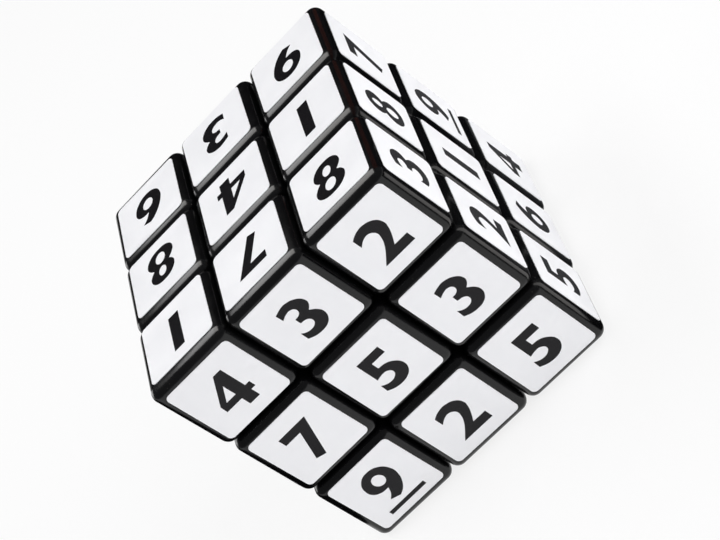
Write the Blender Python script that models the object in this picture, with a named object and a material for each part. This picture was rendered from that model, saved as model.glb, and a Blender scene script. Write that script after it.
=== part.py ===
"""Sudoku cube: a three-layer twist puzzle whose six face layers each turn on a sprung screw.

Every cut inside the cube is either a flat plane square to an axis or a sphere about the middle,
so a face layer keeps clear of the rest of the cube at every angle. The frame's origin is the
middle of the cube, which lies on all six turning axes. +Z is up, -Y is the front, +X the right.
"""

import math
from itertools import combinations, product

import bmesh
import bpy
from mathutils import Matrix, Vector

MM = 0.001

# Outside of the cube
OVERALL = 57.0 * MM
LAYER_GAP = 0.3 * MM
FILLET = 2.0 * MM

# Hidden feet that lock the pieces together
FOOT_BITE = 2.85 * MM
FOOT_THICKNESS = 5.0 * MM
TURN_CLEARANCE = 0.4 * MM
NECK_INSET = 0.5 * MM

# Core and its six arms
CORE_RADIUS = 8.5 * MM
ARM_RADIUS = 4.2 * MM

# Centre pieces and their caps
SEAT_GAP = 0.3 * MM
HUB_FLOOR = 2.0 * MM
HUB_WALL = 1.7 * MM
CAP_THICKNESS = 3.1 * MM
SPIGOT_DEPTH = 1.0 * MM
SPIGOT_CLEARANCE = 0.2 * MM

# Screws
SCREW_RADIUS = 1.5 * MM
SCREW_CLEARANCE = 0.25 * MM
SCREW_ENGAGEMENT = 7.4 * MM
SCREW_POINT = 1.4 * MM
HEAD_RADIUS = 3.2 * MM
HEAD_HEIGHT = 1.8 * MM
HEAD_CROWN = 0.5 * MM
HEAD_ROOM = 0.4 * MM
RECESS_LENGTH = 3.4 * MM
RECESS_WIDTH = 0.9 * MM
RECESS_DEPTH = 1.1 * MM

# Springs and washers
WASHER_THICKNESS = 0.6 * MM
WASHER_OVERHANG = 1.1 * MM
WASHER_CLEARANCE = 0.4 * MM
SPRING_WIRE = 0.7 * MM
SPRING_PITCH = 1.25 * MM

# How finely round shapes are divided
FILLET_STEPS = 3
ROUND_SIDES = 16
SPHERE_SIDES = 30
CURL_POINTS = 9
MERGE_DISTANCE = 0.001 * MM
SHARP_ANGLE = math.radians(35)

# Sizes that follow from those above
HALF = OVERALL / 2
CUBIE = (OVERALL - 2 * LAYER_GAP) / 3
MIDDLE = CUBIE / 2
OUTER = MIDDLE + LAYER_GAP
WASHER_RADIUS = HEAD_RADIUS + WASHER_OVERHANG
POCKET_RADIUS = WASHER_RADIUS + WASHER_CLEARANCE
HUB_RADIUS = POCKET_RADIUS + HUB_WALL
FOOT_START = HUB_RADIUS + LAYER_GAP
FOOT_RADIUS = math.sqrt(3) * OUTER + FOOT_BITE
UNDERSIDE_RADIUS = FOOT_RADIUS + TURN_CLEARANCE
FOOT_INNER_RADIUS = FOOT_RADIUS - FOOT_THICKNESS
ARM_LENGTH = math.sqrt((FOOT_INNER_RADIUS - TURN_CLEARANCE) ** 2 - ARM_RADIUS**2)
HUB_BOTTOM = ARM_LENGTH + SEAT_GAP
POCKET_FLOOR = HUB_BOTTOM + HUB_FLOOR
BORE_RADIUS = SCREW_RADIUS + SCREW_CLEARANCE
CAP_UNDERSIDE = HALF - CAP_THICKNESS
CENTRE_TOP = CAP_UNDERSIDE - SEAT_GAP
SPIGOT_BOTTOM = CAP_UNDERSIDE - SPIGOT_DEPTH
HEAD_TOP = SPIGOT_BOTTOM - HEAD_ROOM
HEAD_BOTTOM = HEAD_TOP - HEAD_HEIGHT
WASHER_TOP = HEAD_BOTTOM - SEAT_GAP
WASHER_BOTTOM = WASHER_TOP - WASHER_THICKNESS
SPRING_BOTTOM = POCKET_FLOOR + SEAT_GAP
SPRING_TOP = WASHER_BOTTOM - SEAT_GAP
SPRING_RADIUS = (SCREW_RADIUS + POCKET_RADIUS) / 2
SCREW_TIP = ARM_LENGTH - SCREW_ENGAGEMENT

AXES = {
    "top": Vector((0, 0, 1)),
    "bottom": Vector((0, 0, -1)),
    "front": Vector((0, -1, 0)),
    "back": Vector((0, 1, 0)),
    "left": Vector((-1, 0, 0)),
    "right": Vector((1, 0, 0)),
}


def clear_scene():
    for obj in list(bpy.data.objects):
        bpy.data.objects.remove(obj, do_unlink=True)


def material(name, colour, roughness, metallic):
    made = bpy.data.materials.new(name)
    made.use_nodes = True
    shader = made.node_tree.nodes["Principled BSDF"]
    shader.inputs["Base Color"].default_value = (*colour, 1.0)
    shader.inputs["Roughness"].default_value = roughness
    shader.inputs["Metallic"].default_value = metallic
    return made


def solid(name, bm):
    """A helper object from a finished bmesh, with its faces pointing out."""
    bmesh.ops.recalc_face_normals(bm, faces=bm.faces[:])
    mesh = bpy.data.meshes.new(name)
    bm.to_mesh(mesh)
    bm.free()
    obj = bpy.data.objects.new(name, mesh)
    bpy.context.scene.collection.objects.link(obj)
    return obj


def block(low, high):
    """A square block between two corners, as an open bmesh."""
    bm = bmesh.new()
    bmesh.ops.create_cube(bm, size=1.0)
    bmesh.ops.scale(bm, vec=high - low, verts=bm.verts[:])
    bmesh.ops.translate(bm, vec=(low + high) / 2, verts=bm.verts[:])
    return bm


def box(name, low, high):
    return solid(name, block(low, high))


def rounded_block(low, high):
    """A moulded block with every edge filleted, as an open bmesh."""
    bm = block(low, high)
    bmesh.ops.bevel(
        bm, geom=bm.edges[:], offset=FILLET, offset_type="OFFSET", segments=FILLET_STEPS,
        profile=0.5, affect="EDGES", material=-1,
    )
    return bm


def slice_off(bm, height, keep_above):
    """Cut a bmesh at a level and close it there."""
    normal = Vector((0, 0, -1 if keep_above else 1))
    geometry = bm.verts[:] + bm.edges[:] + bm.faces[:]
    cut = bmesh.ops.bisect_plane(
        bm, geom=geometry, plane_co=(0, 0, height), plane_no=normal, clear_outer=True
    )["geom_cut"]
    bmesh.ops.edgeloop_fill(bm, edges=[e for e in cut if isinstance(e, bmesh.types.BMEdge)])


def ball(name, radius):
    bm = bmesh.new()
    bmesh.ops.create_uvsphere(
        bm, u_segments=SPHERE_SIDES, v_segments=SPHERE_SIDES // 2, radius=radius
    )
    return solid(name, bm)


def turned(name, profile, closed=False):
    """A shape of revolution about Z from (radius, height) points."""
    bm = bmesh.new()
    points = [bm.verts.new((radius, 0, height)) for radius, height in profile]
    edges = [bm.edges.new(pair) for pair in zip(points, points[1:])]
    if closed:
        edges.append(bm.edges.new((points[-1], points[0])))
    bmesh.ops.spin(
        bm, geom=points + edges, cent=(0, 0, 0), axis=(0, 0, 1), angle=math.tau,
        steps=ROUND_SIDES, use_merge=True,
    )
    bmesh.ops.remove_doubles(bm, verts=bm.verts[:], dist=MERGE_DISTANCE)
    return solid(name, bm)


def rod(name, radius, low, high):
    return turned(name, [(0, high), (radius, high), (radius, low), (0, low)])


def shape(base, *steps):
    """Cut or join helper objects in turn and return the finished mesh."""
    for operation, other in steps:
        step = base.modifiers.new(other.name, "BOOLEAN")
        step.operation = operation
        step.object = other
        step.solver = "EXACT"
    bpy.context.view_layer.update()
    graph = bpy.context.evaluated_depsgraph_get()
    mesh = bpy.data.meshes.new_from_object(base.evaluated_get(graph))
    mesh.name = base.name
    mesh.shade_smooth()
    mesh.set_sharp_from_angle(angle=SHARP_ANGLE)
    clear_helpers(base, *(other for _, other in steps))
    return mesh


def clear_helpers(*helpers):
    for helper in helpers:
        bpy.data.objects.remove(helper, do_unlink=True)


def domed_foot(low, high):
    """The foot below a corner or an edge, rounded on the outside to the sphere it slides under."""
    mesh = shape(box("foot", low, high), ("INTERSECT", ball("foot outside", FOOT_RADIUS)))
    foot = bpy.data.objects.new("foot", mesh)
    bpy.context.scene.collection.objects.link(foot)
    return foot


def corner_mesh():
    """A corner block with the foot that tucks under the three edges beside it."""
    return shape(
        solid("corner", rounded_block(Vector([OUTER] * 3), Vector([HALF] * 3))),
        ("UNION", domed_foot(Vector([FOOT_START] * 3), Vector([FOOT_RADIUS] * 3))),
        ("DIFFERENCE", ball("foot inside", FOOT_INNER_RADIUS)),
    )


def edge_mesh():
    """An edge block hollowed below, with a neck down to the foot that tucks under two centres."""
    low = Vector((-MIDDLE, OUTER, OUTER))
    high = Vector((MIDDLE, HALF, HALF))
    neck_half = HUB_RADIUS - NECK_INSET
    neck_start = OUTER + NECK_INSET
    neck = box(
        "neck",
        Vector((-neck_half, neck_start, neck_start)),
        Vector((neck_half, FOOT_RADIUS, FOOT_RADIUS)),
    )
    foot = domed_foot(
        Vector((-HUB_RADIUS, FOOT_START, FOOT_START)),
        Vector((HUB_RADIUS, FOOT_RADIUS, FOOT_RADIUS)),
    )
    return shape(
        solid("edge", rounded_block(low, high)),
        ("DIFFERENCE", ball("underside", UNDERSIDE_RADIUS)),
        ("UNION", neck),
        ("UNION", foot),
        ("DIFFERENCE", ball("foot inside", FOOT_INNER_RADIUS)),
    )


def face_block():
    """The full block in the middle of a face, before it is split into centre and cap."""
    return rounded_block(Vector((-MIDDLE, -MIDDLE, OUTER)), Vector((MIDDLE, MIDDLE, HALF)))


def centre_mesh():
    """A centre piece: a square body on a round hub, with the spring's pocket down its middle."""
    bm = face_block()
    slice_off(bm, CENTRE_TOP, keep_above=False)
    hub = rod("hub", HUB_RADIUS, HUB_BOTTOM, CENTRE_TOP - SPIGOT_DEPTH)
    above = CENTRE_TOP + CAP_THICKNESS
    below = HUB_BOTTOM - HUB_FLOOR
    pocket = turned("pocket", [
        (0, above),
        (POCKET_RADIUS, above),
        (POCKET_RADIUS, POCKET_FLOOR),
        (BORE_RADIUS, POCKET_FLOOR),
        (BORE_RADIUS, below),
        (0, below),
    ])
    return shape(
        solid("centre", bm),
        ("DIFFERENCE", ball("underside", UNDERSIDE_RADIUS)),
        ("UNION", hub),
        ("DIFFERENCE", pocket),
    )


def cap_mesh():
    """The square cap that hides the screw, with a round spigot that plugs the pocket."""
    bm = face_block()
    slice_off(bm, CAP_UNDERSIDE, keep_above=True)
    top = CAP_UNDERSIDE + CAP_THICKNESS / 2
    spigot = rod("spigot", POCKET_RADIUS - SPIGOT_CLEARANCE, SPIGOT_BOTTOM, top)
    return shape(solid("cap", bm), ("UNION", spigot))


def screw_mesh():
    """A pan-head screw with a pointed end and a cross recess."""
    crown_start = HEAD_TOP - HEAD_CROWN
    screw = turned("screw", [
        (0, HEAD_TOP),
        (HEAD_RADIUS - HEAD_CROWN, HEAD_TOP),
        (HEAD_RADIUS, crown_start),
        (HEAD_RADIUS, HEAD_BOTTOM),
        (SCREW_RADIUS, HEAD_BOTTOM),
        (SCREW_RADIUS, SCREW_TIP + SCREW_POINT),
        (0, SCREW_TIP),
    ])
    long = RECESS_LENGTH / 2
    short = RECESS_WIDTH / 2
    floor = HEAD_TOP - RECESS_DEPTH
    above = HEAD_TOP + RECESS_DEPTH
    slots = [
        box("slot along", Vector((-long, -short, floor)), Vector((long, short, above))),
        box("slot across", Vector((-short, -long, floor)), Vector((short, long, above))),
    ]
    return shape(screw, *(("DIFFERENCE", slot) for slot in slots))


def washer_mesh():
    return shape(turned("washer", [
        (WASHER_RADIUS, WASHER_TOP),
        (WASHER_RADIUS, WASHER_BOTTOM),
        (BORE_RADIUS, WASHER_BOTTOM),
        (BORE_RADIUS, WASHER_TOP),
    ], closed=True))


def core_mesh():
    """The six-armed core, with a blind hole for a screw in each arm."""
    bm = bmesh.new()
    bmesh.ops.create_uvsphere(
        bm, u_segments=ROUND_SIDES, v_segments=ROUND_SIDES // 2, radius=CORE_RADIUS
    )
    steps = []
    for side in ("top", "right", "back"):
        arm = rod("arm " + side, ARM_RADIUS, -ARM_LENGTH, ARM_LENGTH)
        arm.rotation_euler = turn_to(AXES[side]).to_euler()
        steps.append(("UNION", arm))
    for side, axis in AXES.items():
        hole = rod("hole " + side, BORE_RADIUS, SCREW_TIP - SEAT_GAP, ARM_LENGTH + HUB_FLOOR)
        hole.rotation_euler = turn_to(axis).to_euler()
        steps.append(("DIFFERENCE", hole))
    return shape(solid("core", bm), *steps)


def spring_curve():
    """A coil of round wire between the pocket's floor and the washer."""
    low = SPRING_BOTTOM + SPRING_WIRE / 2
    rise = SPRING_TOP - SPRING_WIRE / 2 - low
    steps = max(CURL_POINTS, round(rise / SPRING_PITCH * CURL_POINTS))
    points = []
    for step in range(steps + 1):
        angle = math.tau * step / CURL_POINTS
        height = low + rise * step / steps
        points.append(Vector((
            SPRING_RADIUS * math.cos(angle), SPRING_RADIUS * math.sin(angle), height
        )))
    least = min(
        (a - b).length
        for n, a in enumerate(points)
        for b in points[n + CURL_POINTS // 2:]
    )
    print(f"spring: least gap between curls {(least - SPRING_WIRE) / MM:.2f} mm")
    curve = bpy.data.curves.new("spring", "CURVE")
    curve.dimensions = "3D"
    curve.bevel_depth = SPRING_WIRE / 2
    curve.bevel_resolution = 1
    curve.use_fill_caps = True
    spline = curve.splines.new("POLY")
    spline.points.add(len(points) - 1)
    for place, point in zip(spline.points, points):
        place.co = (*point, 1.0)
    return curve


def turn_to(axis):
    """The turn that carries the top of a piece to a face."""
    return axis.to_track_quat("Z", "Y").to_matrix()


def place(name, data, turn, finish, parent):
    """A piece of the cube: shared data, turned about the middle of the cube."""
    obj = bpy.data.objects.new(name, data)
    obj.rotation_euler = turn.to_euler()
    obj.parent = parent
    if not data.materials:
        data.materials.append(finish)
    bpy.context.scene.collection.objects.link(obj)
    return obj


def build_cube():
    clear_scene()
    black = material("black gloss ABS", (0.006, 0.006, 0.007), 0.2, 0.0)
    inner = material("dark nylon", (0.02, 0.02, 0.022), 0.5, 0.0)
    steel = material("spring steel", (0.55, 0.55, 0.54), 0.3, 1.0)
    zinc = material("zinc plated steel", (0.62, 0.62, 0.6), 0.35, 1.0)

    middle = bpy.data.objects.new("middle", None)
    bpy.context.scene.collection.objects.link(middle)

    place("core", core_mesh(), Matrix.Identity(3), inner, middle)
    stack = [
        ("screw", screw_mesh(), zinc),
        ("washer", washer_mesh(), zinc),
        ("spring", spring_curve(), steel),
        ("centre", centre_mesh(), black),
        ("cap", cap_mesh(), black),
    ]
    for side, axis in AXES.items():
        for piece, data, finish in stack:
            place(f"{piece}_{side}", data, turn_to(axis), finish, middle)

    edge = edge_mesh()
    for (side_a, a), (side_b, b) in combinations(AXES.items(), 2):
        if a.dot(b) == 0:
            turn = Matrix((a.cross(b), a, b)).transposed()
            place(f"edge_{side_a}_{side_b}", edge, turn, black, middle)

    corner = corner_mesh()
    for sides in product(("top", "bottom"), ("front", "back"), ("left", "right")):
        a, b, c = (AXES[side] for side in sides)
        turn = Matrix((a, b, c) if a.cross(b).dot(c) > 0 else (b, a, c)).transposed()
        place("corner_" + "_".join(sides), corner, turn, black, middle)


build_cube()
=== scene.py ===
"""The looks of a sudoku cube, in the order in which such a cube is put together."""

import math
import random
from itertools import combinations, product

import bmesh
import bpy
from mathutils import Matrix, Vector


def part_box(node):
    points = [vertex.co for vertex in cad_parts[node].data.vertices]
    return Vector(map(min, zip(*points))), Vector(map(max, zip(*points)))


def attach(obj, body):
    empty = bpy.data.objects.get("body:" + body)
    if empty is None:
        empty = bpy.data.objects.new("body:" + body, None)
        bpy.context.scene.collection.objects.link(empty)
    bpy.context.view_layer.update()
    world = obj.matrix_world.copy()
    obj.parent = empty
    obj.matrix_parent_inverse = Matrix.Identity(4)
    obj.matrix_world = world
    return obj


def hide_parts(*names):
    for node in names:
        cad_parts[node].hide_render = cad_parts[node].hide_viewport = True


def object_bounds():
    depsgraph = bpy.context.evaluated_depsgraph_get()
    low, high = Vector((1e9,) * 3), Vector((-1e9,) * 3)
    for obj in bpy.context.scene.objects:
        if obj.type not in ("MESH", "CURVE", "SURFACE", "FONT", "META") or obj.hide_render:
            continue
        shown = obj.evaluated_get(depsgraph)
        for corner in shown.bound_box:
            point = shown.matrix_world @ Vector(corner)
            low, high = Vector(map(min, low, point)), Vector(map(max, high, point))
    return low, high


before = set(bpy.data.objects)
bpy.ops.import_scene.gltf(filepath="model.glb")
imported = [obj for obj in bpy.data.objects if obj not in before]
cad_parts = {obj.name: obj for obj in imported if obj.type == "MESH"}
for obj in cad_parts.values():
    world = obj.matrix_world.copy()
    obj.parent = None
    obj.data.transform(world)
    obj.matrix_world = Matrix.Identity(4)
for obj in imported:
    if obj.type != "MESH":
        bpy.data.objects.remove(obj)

cad_low, cad_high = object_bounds()

# The core is a six-armed spider, injection moulded in dark nylon, hidden in the middle of the cube.
# Each arm takes one screw, and every other piece hangs on those six screws.
MM = 0.001


def srgb(code):
    """A hex colour as the linear values that a colour socket takes."""
    shares = [int(code[n:n + 2], 16) / 255 for n in (1, 3, 5)]
    linear = [s / 12.92 if s <= 0.04045 else ((s + 0.055) / 1.055) ** 2.4 for s in shares]
    return (*linear, 1.0)


def add_node(tree, kind, settings=None, inputs=None):
    """Add a node with its settings, and with its inputs set to values or linked from outputs."""
    made = tree.nodes.new(kind)
    for name, value in (settings or {}).items():
        setattr(made, name, value)
    for name, value in (inputs or {}).items():
        if isinstance(value, bpy.types.NodeSocket):
            tree.links.new(value, made.inputs[name])
        else:
            made.inputs[name].default_value = value
    return made


def empty_material(name):
    """A new material with no nodes, and its node tree."""
    made = bpy.data.materials.new(name)
    made.use_nodes = True
    made.node_tree.nodes.clear()
    return made, made.node_tree


# A Mix node has sockets of the same name for each kind of value, so those for colours go by number.
MIX_SHARE = 0
MIX_FIRST = 6
MIX_SECOND = 7
MIX_RESULT = 2

# Nylon moulded in a spark-eroded tool: dull, a little mottled, with a fine even grain.
# The grain is drawn coarser than it is, so that it shows.
MOTTLE_SIZE = 2.5 * MM
GRAIN_SIZE = 0.25 * MM
GRAIN_DEPTH = 0.02 * MM
nylon, tree = empty_material("moulded dark nylon")
place = add_node(tree, "ShaderNodeTexCoord").outputs["Object"]
mottle = add_node(tree, "ShaderNodeTexNoise", None, {"Vector": place, "Scale": 1 / MOTTLE_SIZE})
grain = add_node(tree, "ShaderNodeTexNoise", None, {"Vector": place, "Scale": 1 / GRAIN_SIZE})
shade = add_node(tree, "ShaderNodeMix", {"data_type": "RGBA"}, {
    MIX_SHARE: mottle.outputs[0], MIX_FIRST: srgb("#242427"), MIX_SECOND: srgb("#313135"),
})
relief = add_node(tree, "ShaderNodeBump", None, {
    "Height": grain.outputs[0], "Strength": 0.4, "Distance": GRAIN_DEPTH,
})
shader = add_node(tree, "ShaderNodeBsdfPrincipled", None, {
    "Base Color": shade.outputs[MIX_RESULT], "Roughness": 0.55, "IOR": 1.53, "Normal": relief.outputs[0],
})
add_node(tree, "ShaderNodeOutputMaterial", None, {"Surface": shader.outputs[0]})


def dress(nodes, material):
    """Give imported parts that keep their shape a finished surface."""
    for name in nodes:
        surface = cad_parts[name].data.materials
        surface.clear()
        surface.append(material)


dress(["core"], nylon)

# Six screws, washers and springs hold the centre pieces on the core and let each face give a little.
# The screws and washers are zinc-plated steel, turned or punched, and the springs are drawn steel wire.
# There is one of each on every side of the cube, and AXES holds the way that each side faces.
AXES = {
    "top": Vector((0, 0, 1)),
    "bottom": Vector((0, 0, -1)),
    "front": Vector((0, -1, 0)),
    "back": Vector((0, 1, 0)),
    "left": Vector((-1, 0, 0)),
    "right": Vector((1, 0, 0)),
}

# Bright zinc plating: a cool pale metal with a cloudy bloom and fine wear.
BLOOM_SIZE = 1.2 * MM
zinc, tree = empty_material("zinc-plated steel")
place = add_node(tree, "ShaderNodeTexCoord").outputs["Object"]
bloom = add_node(tree, "ShaderNodeTexNoise", None, {
    "Vector": place, "Scale": 1 / BLOOM_SIZE, "Detail": 4.0,
})
tone = add_node(tree, "ShaderNodeMix", {"data_type": "RGBA"}, {
    MIX_SHARE: bloom.outputs[0], MIX_FIRST: srgb("#b9bcc0"), MIX_SECOND: srgb("#d3d4d2"),
})
dullness = add_node(tree, "ShaderNodeMapRange", None, {
    "Value": bloom.outputs[0], "To Min": 0.24, "To Max": 0.42,
})
shader = add_node(tree, "ShaderNodeBsdfPrincipled", None, {
    "Base Color": tone.outputs[MIX_RESULT], "Metallic": 1.0, "Roughness": dullness.outputs[0],
})
add_node(tree, "ShaderNodeOutputMaterial", None, {"Surface": shader.outputs[0]})

# Drawn spring wire: darker than the plating, with short marks from the die, coarse enough here to show.
DIE_MARK_SIZE = 0.4 * MM
wire, tree = empty_material("drawn spring wire")
place = add_node(tree, "ShaderNodeTexCoord").outputs["Object"]
drawn = add_node(tree, "ShaderNodeTexNoise", None, {
    "Vector": place, "Scale": 1 / DIE_MARK_SIZE, "Detail": 3.0,
})
tone = add_node(tree, "ShaderNodeMix", {"data_type": "RGBA"}, {
    MIX_SHARE: drawn.outputs[0], MIX_FIRST: srgb("#8e8c88"), MIX_SECOND: srgb("#a9a7a2"),
})
dullness = add_node(tree, "ShaderNodeMapRange", None, {
    "Value": drawn.outputs[0], "To Min": 0.2, "To Max": 0.34,
})
shader = add_node(tree, "ShaderNodeBsdfPrincipled", None, {
    "Base Color": tone.outputs[MIX_RESULT], "Metallic": 1.0, "Roughness": dullness.outputs[0],
})
add_node(tree, "ShaderNodeOutputMaterial", None, {"Surface": shader.outputs[0]})

dress([f"{piece}_{side}" for piece in ("screw", "washer") for side in AXES], zinc)
dress([f"spring_{side}" for side in AXES], wire)

# Centre pieces turn on the screws, one for each face, and carry the square caps that are seen.
# They are injection moulded in black ABS from a polished tool, as the edges and corners are too.

# Polished ABS: near black, with a soft wave from cooling, a gloss that handling has left uneven,
# and specks of dust.
WAVE_SIZE = 1.6 * MM
WAVE_DEPTH = 0.02 * MM
HANDLING_SIZE = 5.0 * MM
DUST_SPACING = 1.7 * MM
abs_plastic, tree = empty_material("black moulded ABS")
place = add_node(tree, "ShaderNodeTexCoord").outputs["Object"]
wave = add_node(tree, "ShaderNodeTexNoise", None, {"Vector": place, "Scale": 1 / WAVE_SIZE, "Detail": 1.0})
handling = add_node(tree, "ShaderNodeTexNoise", None, {
    "Vector": place, "Scale": 1 / HANDLING_SIZE, "Detail": 5.0, "Roughness": 0.62,
})
gloss = add_node(tree, "ShaderNodeMapRange", None, {
    "Value": handling.outputs[0], "From Min": 0.3, "From Max": 0.7, "To Min": 0.14, "To Max": 0.24,
})
speck = add_node(tree, "ShaderNodeTexVoronoi", None, {"Vector": place, "Scale": 1 / DUST_SPACING})
dust = add_node(tree, "ShaderNodeMapRange", None, {
    "Value": speck.outputs["Distance"],
    "From Min": 0.03, "From Max": 0.055, "To Min": 1.0, "To Max": 0.0,
})
shade = add_node(tree, "ShaderNodeMix", {"data_type": "RGBA"}, {
    MIX_SHARE: dust.outputs[0], MIX_FIRST: srgb("#060607"), MIX_SECOND: srgb("#3c3a38"),
})
relief = add_node(tree, "ShaderNodeBump", None, {
    "Height": wave.outputs[0], "Strength": 0.25, "Distance": WAVE_DEPTH,
})
shader = add_node(tree, "ShaderNodeBsdfPrincipled", None, {
    "Base Color": shade.outputs[MIX_RESULT], "Roughness": gloss.outputs[0], "IOR": 1.5,
    "Specular IOR Level": 0.4, "Normal": relief.outputs[0],
})
add_node(tree, "ShaderNodeOutputMaterial", None, {"Surface": shader.outputs[0]})

dress([f"centre_{side}" for side in AXES], abs_plastic)

# Caps close the centre pieces over the screws: square black ABS mouldings, pressed in by a round spigot.
# With the edges and corners they make the grid of blocks that shows, every outer edge filleted.
FILLET = 2.0 * MM
FILLET_STEPS = 8
SPIGOT_RADIUS = 4.5 * MM
SPIGOT_DEPTH = 1.0 * MM
ROUND_SIDES = 64
SHARP_ANGLE = math.radians(40)
half = cad_high.z
cap_low, cap_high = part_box("cap_top")
block_half = cap_high.x
layer_gap = half - 3 * block_half
outer = block_half + layer_gap


def block(low, high):
    """A plain block between two corners."""
    bm = bmesh.new()
    bmesh.ops.create_cube(bm, size=1.0)
    bmesh.ops.scale(bm, vec=high - low, verts=bm.verts[:])
    bmesh.ops.translate(bm, vec=(low + high) / 2, verts=bm.verts[:])
    return bm


def moulded_block(low, high):
    """A block with a fillet on every edge."""
    bm = block(low, high)
    bmesh.ops.bevel(
        bm, geom=bm.edges[:], offset=FILLET, offset_type="OFFSET", segments=FILLET_STEPS,
        profile=0.5, affect="EDGES", material=-1,
    )
    return bm


def stand(name, bm):
    """An object in the scene from a finished bmesh."""
    bmesh.ops.recalc_face_normals(bm, faces=bm.faces[:])
    mesh = bpy.data.meshes.new(name)
    bm.to_mesh(mesh)
    bm.free()
    made = bpy.data.objects.new(name, mesh)
    bpy.context.scene.collection.objects.link(made)
    return made


def carve(base, *steps):
    """Cut and join helper objects in turn, and keep only the finished mesh."""
    for operation, other in steps:
        step = base.modifiers.new(other.name, "BOOLEAN")
        step.operation = operation
        step.object = other
        step.solver = "EXACT"
    bpy.context.view_layer.update()
    mesh = bpy.data.meshes.new_from_object(base.evaluated_get(bpy.context.evaluated_depsgraph_get()))
    for helper in (base, *(other for _, other in steps)):
        bpy.data.objects.remove(helper, do_unlink=True)
    mesh.shade_smooth()
    mesh.set_sharp_from_angle(angle=SHARP_ANGLE)
    return mesh


def set_in(name, mesh, turn, material, body):
    """A finished piece: its own copy of a mesh, turned into its place and riding on its body."""
    own = mesh.copy()
    own.transform(turn)
    own.materials.clear()
    own.materials.append(material)
    made = bpy.data.objects.new(name, own)
    bpy.context.scene.collection.objects.link(made)
    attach(made, body)
    return made


cap_underside = cap_low.z + SPIGOT_DEPTH
bm = moulded_block(
    Vector((-block_half, -block_half, outer)), Vector((block_half, block_half, half))
)
cut = bmesh.ops.bisect_plane(
    bm, geom=bm.verts[:] + bm.edges[:] + bm.faces[:], plane_co=(0, 0, cap_underside),
    plane_no=(0, 0, -1), clear_outer=True,
)["geom_cut"]
bmesh.ops.edgeloop_fill(bm, edges=[e for e in cut if isinstance(e, bmesh.types.BMEdge)])
spigot = bmesh.new()
bmesh.ops.create_cone(
    spigot, cap_ends=True, segments=ROUND_SIDES, radius1=SPIGOT_RADIUS, radius2=SPIGOT_RADIUS,
    depth=2 * SPIGOT_DEPTH, matrix=Matrix.Translation((0, 0, cap_underside)),
)
cap_mesh = carve(stand("cap", bm), ("UNION", stand("spigot", spigot)))
for side, axis in AXES.items():
    turn = axis.to_track_quat("Z", "Y").to_matrix().to_4x4()
    cap = set_in(f"cap_{side}_moulding", cap_mesh, turn, abs_plastic, f"{side}_centre")
    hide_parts(f"cap_{side}")

# Edge pieces: twelve black ABS blocks, moulded with a neck and a foot that tucks under two centres.
# Nothing fixes them but those feet, so they slide round with whichever face is turned.
FOOT_RADIUS = 19.65 * MM
FOOT_INNER_RADIUS = 14.65 * MM
UNDERSIDE_RADIUS = 20.05 * MM
FOOT_HALF_LENGTH = 6.4 * MM
NECK_INSET = 0.5 * MM
foot_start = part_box("corner_top_back_right")[0].x


def ball(name, radius):
    """A sphere about the middle of the cube, to cut or round a piece by."""
    bm = bmesh.new()
    bmesh.ops.create_uvsphere(bm, u_segments=ROUND_SIDES, v_segments=ROUND_SIDES // 2, radius=radius)
    return stand(name, bm)


def domed_foot(low, high):
    """A foot rounded to the sphere that it slides under."""
    mesh = carve(stand("foot", block(low, high)), ("INTERSECT", ball("dome", FOOT_RADIUS)))
    foot = bpy.data.objects.new("foot", mesh)
    bpy.context.scene.collection.objects.link(foot)
    return foot


neck_half = FOOT_HALF_LENGTH - NECK_INSET
neck_start = outer + NECK_INSET
neck = stand("neck", block(
    Vector((-neck_half, neck_start, neck_start)), Vector((neck_half, FOOT_RADIUS, FOOT_RADIUS))
))
foot = domed_foot(
    Vector((-FOOT_HALF_LENGTH, foot_start, foot_start)),
    Vector((FOOT_HALF_LENGTH, FOOT_RADIUS, FOOT_RADIUS)),
)
edge_block = moulded_block(Vector((-block_half, outer, outer)), Vector((block_half, half, half)))
edge_mesh = carve(
    stand("edge", edge_block),
    ("DIFFERENCE", ball("underside", UNDERSIDE_RADIUS)),
    ("UNION", neck),
    ("UNION", foot),
    ("DIFFERENCE", ball("foot inside", FOOT_INNER_RADIUS)),
)
for (side, axis), (next_side, next_axis) in combinations(AXES.items(), 2):
    if axis.dot(next_axis) == 0:
        turn = Matrix((axis.cross(next_axis), axis, next_axis)).transposed().to_4x4()
        sides = f"{side}_{next_side}"
        edge = set_in(f"edge_{sides}_moulding", edge_mesh, turn, abs_plastic, f"{sides}_edge")
        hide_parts(f"edge_{sides}")

# Corner pieces: eight black ABS blocks, each with a foot that tucks under the three edges beside it.
# They go in last, and the whole cube locks as the final one is pressed home.
corner_mesh = carve(
    stand("corner", moulded_block(Vector([outer] * 3), Vector([half] * 3))),
    ("UNION", domed_foot(Vector([foot_start] * 3), Vector([FOOT_RADIUS] * 3))),
    ("DIFFERENCE", ball("foot inside", FOOT_INNER_RADIUS)),
)
for words in product(("top", "bottom"), ("front", "back"), ("left", "right")):
    first, second, third = (AXES[side] for side in words)
    if first.cross(second).dot(third) < 0:
        first, second = second, first
    turn = Matrix((first, second, third)).transposed().to_4x4()
    sides = "_".join(words)
    corner = set_in(
        f"corner_{sides}_moulding", corner_mesh, turn, abs_plastic, f"{sides}_corner"
    )
    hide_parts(f"corner_{sides}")

# Stickers: one square of white vinyl film with round corners on every outer face of every block.
# They are die cut and stuck on by hand, so each lies a little off centre and a little turned, and the outer
# ones lie a trace nearer to the middle of the face than their blocks do.
STICKER = 15.35 * MM
STICKER_PITCH = 18.95 * MM
STICKER_CORNER = 0.95 * MM
STICKER_CORNER_STEPS = 6
FILM = 0.12 * MM
FILM_SINK = 0.02 * MM
FILM_CURL = 0.03 * MM
CURL_WIDTH = 0.5 * MM
HAND_SHIFT = 0.3 * MM
HAND_TURN = math.radians(0.6)

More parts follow.
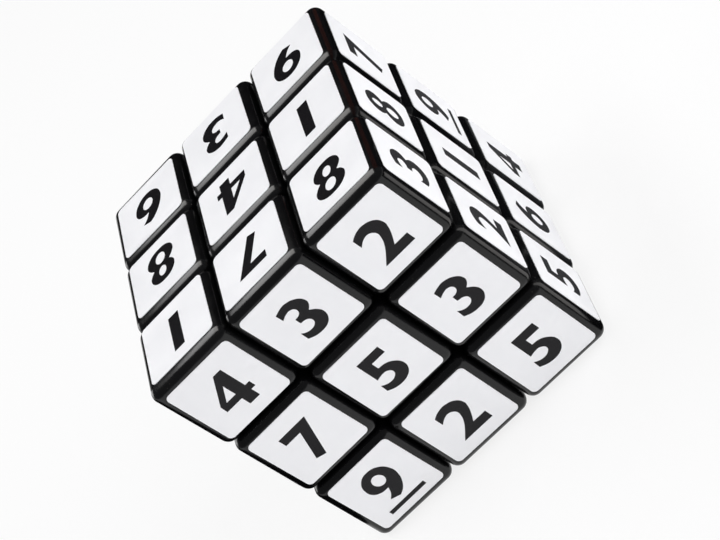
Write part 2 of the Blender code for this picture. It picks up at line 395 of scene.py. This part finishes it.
# Vinyl film: a cool white with a satin face, faintly uneven from its adhesive and from handling.
CLOUD_SIZE = 7.0 * MM
PEEL_SIZE = 0.5 * MM
PEEL_DEPTH = 0.01 * MM
vinyl, tree = empty_material("white vinyl film")
place = add_node(tree, "ShaderNodeTexCoord").outputs["Object"]
cloud = add_node(tree, "ShaderNodeTexNoise", None, {
    "Vector": place, "Scale": 1 / CLOUD_SIZE, "Detail": 4.0, "Roughness": 0.6,
})
peel = add_node(tree, "ShaderNodeTexNoise", None, {"Vector": place, "Scale": 1 / PEEL_SIZE, "Detail": 2.0})
white = add_node(tree, "ShaderNodeMix", {"data_type": "RGBA"}, {
    MIX_SHARE: cloud.outputs[0], MIX_FIRST: srgb("#efeff2"), MIX_SECOND: srgb("#f8f8fa"),
})
satin = add_node(tree, "ShaderNodeMapRange", None, {
    "Value": cloud.outputs[0], "From Min": 0.3, "From Max": 0.7, "To Min": 0.3, "To Max": 0.42,
})
relief = add_node(tree, "ShaderNodeBump", None, {
    "Height": peel.outputs[0], "Strength": 0.15, "Distance": PEEL_DEPTH,
})
shader = add_node(tree, "ShaderNodeBsdfPrincipled", None, {
    "Base Color": white.outputs[MIX_RESULT], "Roughness": satin.outputs[0], "IOR": 1.5,
    "Specular IOR Level": 0.35, "Normal": relief.outputs[0],
})
add_node(tree, "ShaderNodeOutputMaterial", None, {"Surface": shader.outputs[0]})

bm = bmesh.new()
bmesh.ops.create_grid(bm, x_segments=1, y_segments=1, size=STICKER / 2)
bmesh.ops.bevel(
    bm, geom=bm.verts[:], offset=STICKER_CORNER, offset_type="OFFSET", segments=STICKER_CORNER_STEPS,
    profile=0.5, affect="VERTICES", material=-1,
)
rim = bm.verts[:]
bmesh.ops.inset_region(bm, faces=bm.faces[:], thickness=CURL_WIDTH, use_even_offset=True)
bmesh.ops.translate(bm, vec=(0, 0, -FILM_CURL), verts=rim)
bmesh.ops.recalc_face_normals(bm, faces=bm.faces[:])
bmesh.ops.solidify(bm, geom=bm.faces[:], thickness=FILM)
sticker_mesh = carve(stand("sticker", bm))
sticker_top = max(vertex.co.z for vertex in sticker_mesh.vertices)
sticker_mesh.transform(Matrix.Translation((0, 0, FILM - FILM_SINK - sticker_top)))

# Digits: plain numbers from 1 to 9, screen printed in black on the stickers, in a heavy upright style.
# A 9 has a bar under it, so that it can't be read as a 6. Outlines are in millimetres from the middle
# of a digit. A point marked corner is sharp, and the outline runs smoothly through the others.
INK = 0.02 * MM
WELD = 0.1 * INK
OUTLINE_STEPS = 8
DIGIT_DROP = 0.4 * MM
NINE_LIFT = 0.44 * MM
SIX_DROP = 0.1 * MM


def ellipse(x, y, across, up):
    """A smooth closed outline through its four outermost points."""
    return [(x, y + up), (x + across, y), (x, y - up), (x - across, y)]


def bar(left, right, low, high):
    """An outline with four sharp corners."""
    return [(left, high, "corner"), (right, high, "corner"), (right, low, "corner"), (left, low, "corner")]


nine = [
    [
        (-0.13, -4.42, "corner"), (1.12, -3.7), (2.48, -2.11), (3.16, -0.52), (3.35, 1.19),
        (2.37, 3.44), (-0.06, 4.42), (-2.4, 3.44), (-3.36, 1.2), (-3.05, -0.2), (-2.06, -1.05),
        (-0.75, -1.3), (-0.2, -1.25, "corner"), (-0.93, -2.62), (-2.02, -3.63, "corner"),
    ],
    ellipse(-0.06, 1.3, 1.3, 1.42),
]
DIGITS = {
    "1": [bar(-1.25, 1.25, -4.55, 4.55)],
    "2": [[
        (-3.26, 3.55, "corner"), (-2.34, 4.08), (-1.42, 4.38), (-0.1, 4.5), (1.97, 3.57), (2.61, 1.95),
        (2.37, 0.84), (1.75, -0.53), (0.5, -2.52, "corner"), (3.4, -2.52, "corner"),
        (3.4, -4.5, "corner"), (-3.5, -4.5, "corner"), (-0.42, -0.92), (0.18, 0.43), (0.32, 1.33),
        (-0.11, 2.14), (-0.89, 2.54), (-2.04, 2.3), (-3.26, 1.48, "corner"),
    ]],
    "3": [[
        (-2.65, 3.98, "corner"), (-1.35, 4.38), (0.0, 4.5), (2.1, 3.5), (2.76, 2.09), (2.5, 1.18),
        (1.6, 0.32, "corner"), (2.58, -0.8), (2.9, -2.0), (2.4, -3.4), (1.26, -4.27), (-0.1, -4.5),
        (-1.7, -4.27), (-2.9, -3.7, "corner"), (-2.87, -1.89, "corner"), (-2.15, -2.47), (-1.0, -2.75),
        (0.05, -2.41), (0.47, -1.66), (0.1, -0.82), (-1.28, -0.41, "corner"), (-1.28, 0.8, "corner"),
        (-0.21, 1.0), (0.35, 1.64), (0.24, 2.43), (-0.44, 2.87), (-1.35, 2.82), (-2.6, 2.32, "corner"),
    ]],
    "4": [
        [
            (0.66, 4.56, "corner"), (2.52, 4.56, "corner"), (2.52, -1.1, "corner"), (3.55, -1.1, "corner"),
            (3.55, -2.57, "corner"), (2.52, -2.57, "corner"), (2.52, -4.56, "corner"),
            (0.1, -4.56, "corner"), (0.1, -2.57, "corner"), (-3.55, -2.57, "corner"),
            (-3.5, -0.93, "corner"),
        ],
        [(0.13, 1.83, "corner"), (0.13, -1.1, "corner"), (-2.12, -1.1, "corner")],
    ],
    "5": [[
        (-2.45, 4.54, "corner"), (2.73, 4.54, "corner"), (2.73, 2.68, "corner"), (-0.5, 2.68, "corner"),
        (-0.5, 1.09, "corner"), (0.91, 0.91), (2.27, 0.06), (3.07, -1.53), (2.62, -3.24), (1.37, -4.24),
        (0.0, -4.54), (-1.58, -4.37), (-3.07, -3.69, "corner"), (-3.0, -1.94, "corner"), (-2.28, -2.44),
        (-1.13, -2.74), (0.0, -2.44), (0.64, -1.54), (0.0, -0.54), (-1.13, -0.39),
        (-2.45, -0.66, "corner"),
    ]],
    "6": [[(-x, -y, *kind) for x, y, *kind in outline] for outline in nine],
    "7": [[
        (-3.32, 4.45, "corner"), (3.32, 4.45, "corner"), (-0.5, -4.45, "corner"),
        (-2.41, -3.82, "corner"), (0.25, 2.56, "corner"), (-3.32, 2.56, "corner"),
    ]],
    "8": [
        [
            (0.0, 4.6), (2.2, 3.85), (3.04, 1.97), (2.7, 0.98), (2.0, 0.16, "corner"), (2.9, -0.77),
            (3.34, -2.08), (2.45, -3.85), (0.0, -4.6), (-2.45, -3.85), (-3.34, -2.08), (-2.9, -0.77),
            (-2.0, 0.16, "corner"), (-2.7, 0.98), (-3.04, 1.97), (-2.2, 3.85),
        ],
        ellipse(0.0, 1.8, 0.92, 1.25),
        ellipse(0.0, -1.9, 1.2, 1.43),
    ],
    "9": nine + [bar(-4.43, 4.43, -6.47, -5.52)],
}
# The 9 sits high, to leave room for its bar, and the other digits sit a little low.
LIFT = {"9": NINE_LIFT, "6": -SIX_DROP}

# Screen ink: a near black with the satin of the film under it and the faint grain of the mesh.
# The mesh is drawn coarser than it is, so that it shows.
MESH_GRAIN_SIZE = 0.4 * MM
ink, tree = empty_material("black screen ink")
place = add_node(tree, "ShaderNodeTexCoord").outputs["Object"]
mesh_grain = add_node(tree, "ShaderNodeTexNoise", None, {
    "Vector": place, "Scale": 1 / MESH_GRAIN_SIZE, "Detail": 2.0,
})
black = add_node(tree, "ShaderNodeMix", {"data_type": "RGBA"}, {
    MIX_SHARE: mesh_grain.outputs[0], MIX_FIRST: srgb("#0a090c"), MIX_SECOND: srgb("#121014"),
})
flatness = add_node(tree, "ShaderNodeMapRange", None, {
    "Value": mesh_grain.outputs[0], "To Min": 0.2, "To Max": 0.26,
})
shader = add_node(tree, "ShaderNodeBsdfPrincipled", None, {
    "Base Color": black.outputs[MIX_RESULT], "Roughness": flatness.outputs[0], "Specular IOR Level": 0.22,
})
add_node(tree, "ShaderNodeOutputMaterial", None, {"Surface": shader.outputs[0]})


def printed(digit):
    """The mesh of a digit's ink, lying on the film at the middle of a sticker."""
    curve = bpy.data.curves.new(f"digit {digit}", "CURVE")
    curve.dimensions = "2D"
    curve.fill_mode = "BOTH"
    curve.resolution_u = OUTLINE_STEPS
    for outline in DIGITS[digit]:
        spline = curve.splines.new("BEZIER")
        spline.bezier_points.add(len(outline) - 1)
        spline.use_cyclic_u = True
        for point, (x, y, *kind) in zip(spline.bezier_points, outline):
            point.co = (x * MM, y * MM + LIFT.get(digit, -DIGIT_DROP), 0)
            point.handle_left_type = point.handle_right_type = "VECTOR" if kind else "AUTO"
    curve.extrude = INK / 2
    flat = bpy.data.objects.new(curve.name, curve)
    bpy.context.scene.collection.objects.link(flat)
    mesh = carve(flat)
    bm = bmesh.new()
    bm.from_mesh(mesh)
    bmesh.ops.remove_doubles(bm, verts=bm.verts[:], dist=WELD)
    bm.to_mesh(mesh)
    bm.free()
    mesh.shade_flat()
    mesh.transform(Matrix.Translation((0, 0, FILM - FILM_SINK)))
    return mesh


printed_digits = {digit: printed(digit) for digit in DIGITS}

# The rows of each face are read from outside, with the side that UP names, or else the top, above them.
# In the second group a 1 marks a digit that is upside down there, because layers have been turned.
UP = {"top": "back", "bottom": "front"}
LAYOUT = {
    "front": ("432 753 925", "000 000 000"),
    "top": ("636 841 178", "110 110 010"),
    "right": ("387 219 564", "000 000 000"),
    "back": ("916 274 583", "100 100 100"),
    "left": ("849 165 729", "000 011 000"),
    "bottom": ("538 692 147", "001 001 001"),
}
HAND_SEED = 310
hand = random.Random(HAND_SEED)
for side, (digits, half_turns) in LAYOUT.items():
    normal = AXES[side]
    up = AXES[UP.get(side, "top")]
    right = up.cross(normal)
    facing = Matrix((right, up, normal)).transposed().to_4x4()
    for row, (words, turns) in enumerate(zip(digits.split(), half_turns.split())):
        for column, (digit, turned) in enumerate(zip(words, turns)):
            centre = normal + (column - 1) * right + (1 - row) * up
            touching = [name for name, axis in AXES.items() if axis.dot(centre) > 0]
            kind = {1: "centre", 2: "edge", 3: "corner"}[len(touching)]
            body = "_".join(touching + [kind])
            shift = Matrix.Translation((
                (column - 1) * STICKER_PITCH + hand.uniform(-HAND_SHIFT, HAND_SHIFT),
                (1 - row) * STICKER_PITCH + hand.uniform(-HAND_SHIFT, HAND_SHIFT),
                half,
            ))
            skew = Matrix.Rotation(hand.uniform(-HAND_TURN, HAND_TURN), 4, "Z")
            stuck = facing @ shift @ skew
            where = f"{side}_on_{body}"
            set_in(f"sticker_{where}", sticker_mesh, stuck, vinyl, body)
            reading = stuck @ Matrix.Rotation(int(turned) * math.pi, 4, "Z")
            set_in(f"digit_{where}", printed_digits[digit], reading, ink, body)

# The stage: a plain white table under the cube, seen bright and with the cube's soft shadow on it.
# Soft boxes stand above, in front, to the right and behind, and the room gives the rest of the light.
FLOOR_SIZE = 3.0
FLOOR_BELOW = 0.02 * MM
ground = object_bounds()[0].z
bm = bmesh.new()
bmesh.ops.create_grid(
    bm, x_segments=1, y_segments=1, size=FLOOR_SIZE,
    matrix=Matrix.Translation((0, 0, ground - FLOOR_BELOW)),
)
floor = stand("floor", bm)

# Matt white paint, with a glow for the camera and for reflections, so that the table reads as white.
GLOW_SHARE = 0.8
table, tree = empty_material("white table")
paint = add_node(tree, "ShaderNodeBsdfDiffuse", None, {"Color": srgb("#f6f6f6")})
glow = add_node(tree, "ShaderNodeEmission", None, {"Color": srgb("#ffffff"), "Strength": 1.0})
rays = add_node(tree, "ShaderNodeLightPath")
seen = add_node(tree, "ShaderNodeMath", {"operation": "MAXIMUM"}, {
    0: rays.outputs["Is Camera Ray"], 1: rays.outputs["Is Glossy Ray"],
})
seen = add_node(tree, "ShaderNodeMath", {"operation": "MAXIMUM"}, {
    0: seen.outputs[0], 1: rays.outputs["Is Transmission Ray"],
})
share = add_node(tree, "ShaderNodeMath", {"operation": "MULTIPLY"}, {0: seen.outputs[0], 1: GLOW_SHARE})
mixed = add_node(tree, "ShaderNodeMixShader", None, {
    0: share.outputs[0], 1: paint.outputs[0], 2: glow.outputs[0],
})
add_node(tree, "ShaderNodeOutputMaterial", None, {"Surface": mixed.outputs[0]})
floor.data.materials.append(table)

# The room: an even light from all round, a trace cooler than white.
ROOM_LEVEL = 0.17
world = bpy.data.worlds.new("studio")
bpy.context.scene.world = world
world.use_nodes = True
sky = world.node_tree.nodes["Background"]
sky.inputs["Color"].default_value = srgb("#fbfcff")
sky.inputs["Strength"].default_value = ROOM_LEVEL


def soft_box(name, direction, distance, width, length, radiance, mirrored):
    """A lamp of even brightness that faces the cube, its length along the Y axis as nearly as it can be."""
    lamp = bpy.data.lights.new(name, "AREA")
    lamp.shape = "RECTANGLE"
    lamp.size = width
    lamp.size_y = length
    lamp.energy = radiance * math.pi * width * length
    stood = bpy.data.objects.new(name, lamp)
    away = Vector(direction).normalized()
    along = (Vector((0, 1, 0)) - away.y * away).normalized()
    stood.location = away * distance
    stood.rotation_euler = Matrix((along.cross(away), along, away)).transposed().to_euler()
    stood.visible_camera = False
    stood.visible_glossy = mirrored
    bpy.context.scene.collection.objects.link(stood)


soft_box(
    "overhead box", direction=(-0.315, 0.2, 0.93), distance=0.45, width=0.1, length=0.39,
    radiance=6.4, mirrored=True,
)
soft_box(
    "front box", direction=(0.45, -0.8, 0.4), distance=0.9, width=1.1, length=1.1,
    radiance=1.52, mirrored=False,
)
soft_box(
    "right box", direction=(0.93, 0.0, 0.37), distance=0.8, width=0.9, length=0.9,
    radiance=2.1, mirrored=False,
)
soft_box(
    "back box", direction=(-0.75, 0.6, 0.22), distance=0.9, width=0.4, length=0.95,
    radiance=3.0, mirrored=True,
)

# Paper cards lie and stand round the cube, to shape the light and dark that its black plastic mirrors.
# They show in reflections alone: the camera can't see them, and they throw no shadow.
CARD_THICKNESS = 0.2 * MM
CARD_LEFT = -0.5
CARD_RIGHT = 0.6
CARD_BACK = 0.45
card_top = ground + CARD_THICKNESS


def stand_card(name, card_low, card_high, material):
    """A card that fills the space between two corners, and shows in reflections alone."""
    card = stand(name, block(Vector(card_low), Vector(card_high)))
    card.data.materials.append(material)
    card.visible_camera = card.visible_diffuse = card.visible_shadow = False
    return card


def matte_paper(name, tone):
    """Paper of one plain tone, with no gloss."""
    material, tree = empty_material(name)
    paper = add_node(tree, "ShaderNodeBsdfDiffuse", None, {"Color": srgb(tone)})
    add_node(tree, "ShaderNodeOutputMaterial", None, {"Surface": paper.outputs[0]})
    return material


def glowing_paper(name, level):
    """A painted glow: paper that shines evenly by itself, lit by no lamp, for highlights seen in
    reflections.
    """
    material, tree = empty_material(name)
    glow = add_node(tree, "ShaderNodeEmission", None, {"Color": srgb("#fffdfa"), "Strength": level})
    add_node(tree, "ShaderNodeOutputMaterial", None, {"Surface": glow.outputs[0]})
    return material


# Dark cards lie to the left and the right of the cube, and one lies askew from its near right corner.
# They keep the plastic that mirrors the table there black.
LEFT_CARD_RIGHT = -35 * MM
LEFT_CARD_FRONT = -60 * MM
LEFT_CARD_BACK = 85 * MM
RIGHT_CARD_LEFT = 28.7 * MM
SKEW_CARD_LENGTH = 0.5
SKEW_CARD_DEPTH = 0.25
SKEW_CARD_TURN = math.radians(-41.4)
dark_paper = matte_paper("dark card", "#101011")
stand_card(
    "left card", (CARD_LEFT, LEFT_CARD_FRONT, ground), (LEFT_CARD_RIGHT, LEFT_CARD_BACK, card_top),
    dark_paper,
)
stand_card(
    "right card", (RIGHT_CARD_LEFT, -half, ground), (CARD_RIGHT, CARD_BACK, card_top), dark_paper
)
skew_card = stand_card(
    "skew card", (0, 0, 0), (SKEW_CARD_LENGTH, SKEW_CARD_DEPTH, CARD_THICKNESS / 2), dark_paper
)
skew_card.location = (half, -half, ground)
skew_card.rotation_euler.z = SKEW_CARD_TURN

# A grey card on the right one shows as a pale painted reflection in the ink on the right face, and lightens
# it.
GREY_CARD_FRONT = -16 * MM
GREY_CARD_BACK = 125 * MM
GREY_CARD_RIGHT = 62 * MM
stand_card(
    "grey card", (RIGHT_CARD_LEFT, GREY_CARD_FRONT, card_top),
    (GREY_CARD_RIGHT, GREY_CARD_BACK, card_top + CARD_THICKNESS), matte_paper("grey card", "#7c7c7e"),
)

# A dark card stands behind the cube.
STANDING_CARD_TOP = 0.42
stand_card(
    "standing card", (CARD_LEFT, CARD_BACK, ground),
    (CARD_RIGHT, CARD_BACK + CARD_THICKNESS, STANDING_CARD_TOP), matte_paper("standing card", "#2c2b2d"),
)

# A brown strip beside the top right edge is mirrored in its fillet as a faint warm tinge, a painted
# reflection.
STRIP_GAP = 3.0 * MM
STRIP_FRONT = -23 * MM
STRIP_BACK = 41 * MM
STRIP_LOW = 29.4 * MM
STRIP_HIGH = 36.3 * MM
stand_card(
    "brown strip", (half + STRIP_GAP, STRIP_FRONT, STRIP_LOW),
    (half + STRIP_GAP + CARD_THICKNESS, STRIP_BACK, STRIP_HIGH), matte_paper("brown strip", "#7f4a40"),
)

# Two glowing slats paint a thin highlight down the front fillets of the right face's first two columns.
# They shine by themselves and light nothing, and their dark backs keep them out of the other reflections.
SLAT_GAP = 5.0 * MM
SLAT_AHEAD = 2.1 * MM
SLAT_LENGTH = 8.3 * MM
SLAT_HEIGHT = 52 * MM
SLAT_TURN = math.radians(36.9)
SLAT_LEVEL = 2.0
slat_glow = glowing_paper("glowing slat", SLAT_LEVEL)
# The lit layer is the slat's glowing face, a painted highlight, and the dark layer is its back.
slat_layers = (("lit", CARD_THICKNESS, slat_glow), ("dark", -CARD_THICKNESS, dark_paper))
for name, fillet_y in (("front slat", -half), ("middle slat", -block_half)):
    for kind, depth, paper in slat_layers:
        slat = stand_card(f"{name} {kind}", (0, 0, 0), (SLAT_LENGTH, depth, SLAT_HEIGHT), paper)
        slat.location = (half + SLAT_GAP, fillet_y - SLAT_AHEAD, card_top)
        slat.rotation_euler.z = SLAT_TURN

# A glowing card hangs beside the overhead box and carries its light on, for the fillets that face up.
# Its glow is a painted highlight: it shines by itself, shows in reflections alone and lights nothing.
GLOW_CARD_LEFT = -90 * MM
GLOW_CARD_RIGHT = 160 * MM
GLOW_CARD_FRONT = -100 * MM
GLOW_CARD_BACK = 280 * MM
GLOW_CARD_HEIGHT = 420 * MM
GLOW_CARD_LEVEL = 5.5
stand_card(
    "glowing card", (GLOW_CARD_LEFT, GLOW_CARD_FRONT, GLOW_CARD_HEIGHT), (GLOW_CARD_RIGHT, GLOW_CARD_BACK, GLOW_CARD_HEIGHT + CARD_THICKNESS),
    glowing_paper("glowing card", GLOW_CARD_LEVEL),
)

# The camera: a long lens, high in front and a little to the right, rolled as the photograph was taken.
# Its place was fitted to the sides of the stickers that the photograph shows.
AZIMUTH = math.radians(21.25)
ELEVATION = math.radians(31.47)
ROLL = math.radians(-56.19)
DISTANCE = 383.3 * MM
AIM = Vector((1.39, -0.44, -1.08)) * MM
LENS = 106.2
SENSOR_WIDTH = 36.0
camera = bpy.data.objects.new("camera", bpy.data.cameras.new("camera"))
camera.data.sensor_width = SENSOR_WIDTH
camera.data.lens = LENS
turn = (
    Matrix.Rotation(AZIMUTH, 3, "Z")
    @ Matrix.Rotation(math.pi / 2 - ELEVATION, 3, "X")
    @ Matrix.Rotation(ROLL, 3, "Z")
)
camera.rotation_euler = turn.to_euler()
camera.location = AIM + turn @ Vector((0, 0, DISTANCE))
bpy.context.scene.collection.objects.link(camera)
bpy.context.scene.camera = camera
bpy.context.scene.view_settings.view_transform = "Standard"
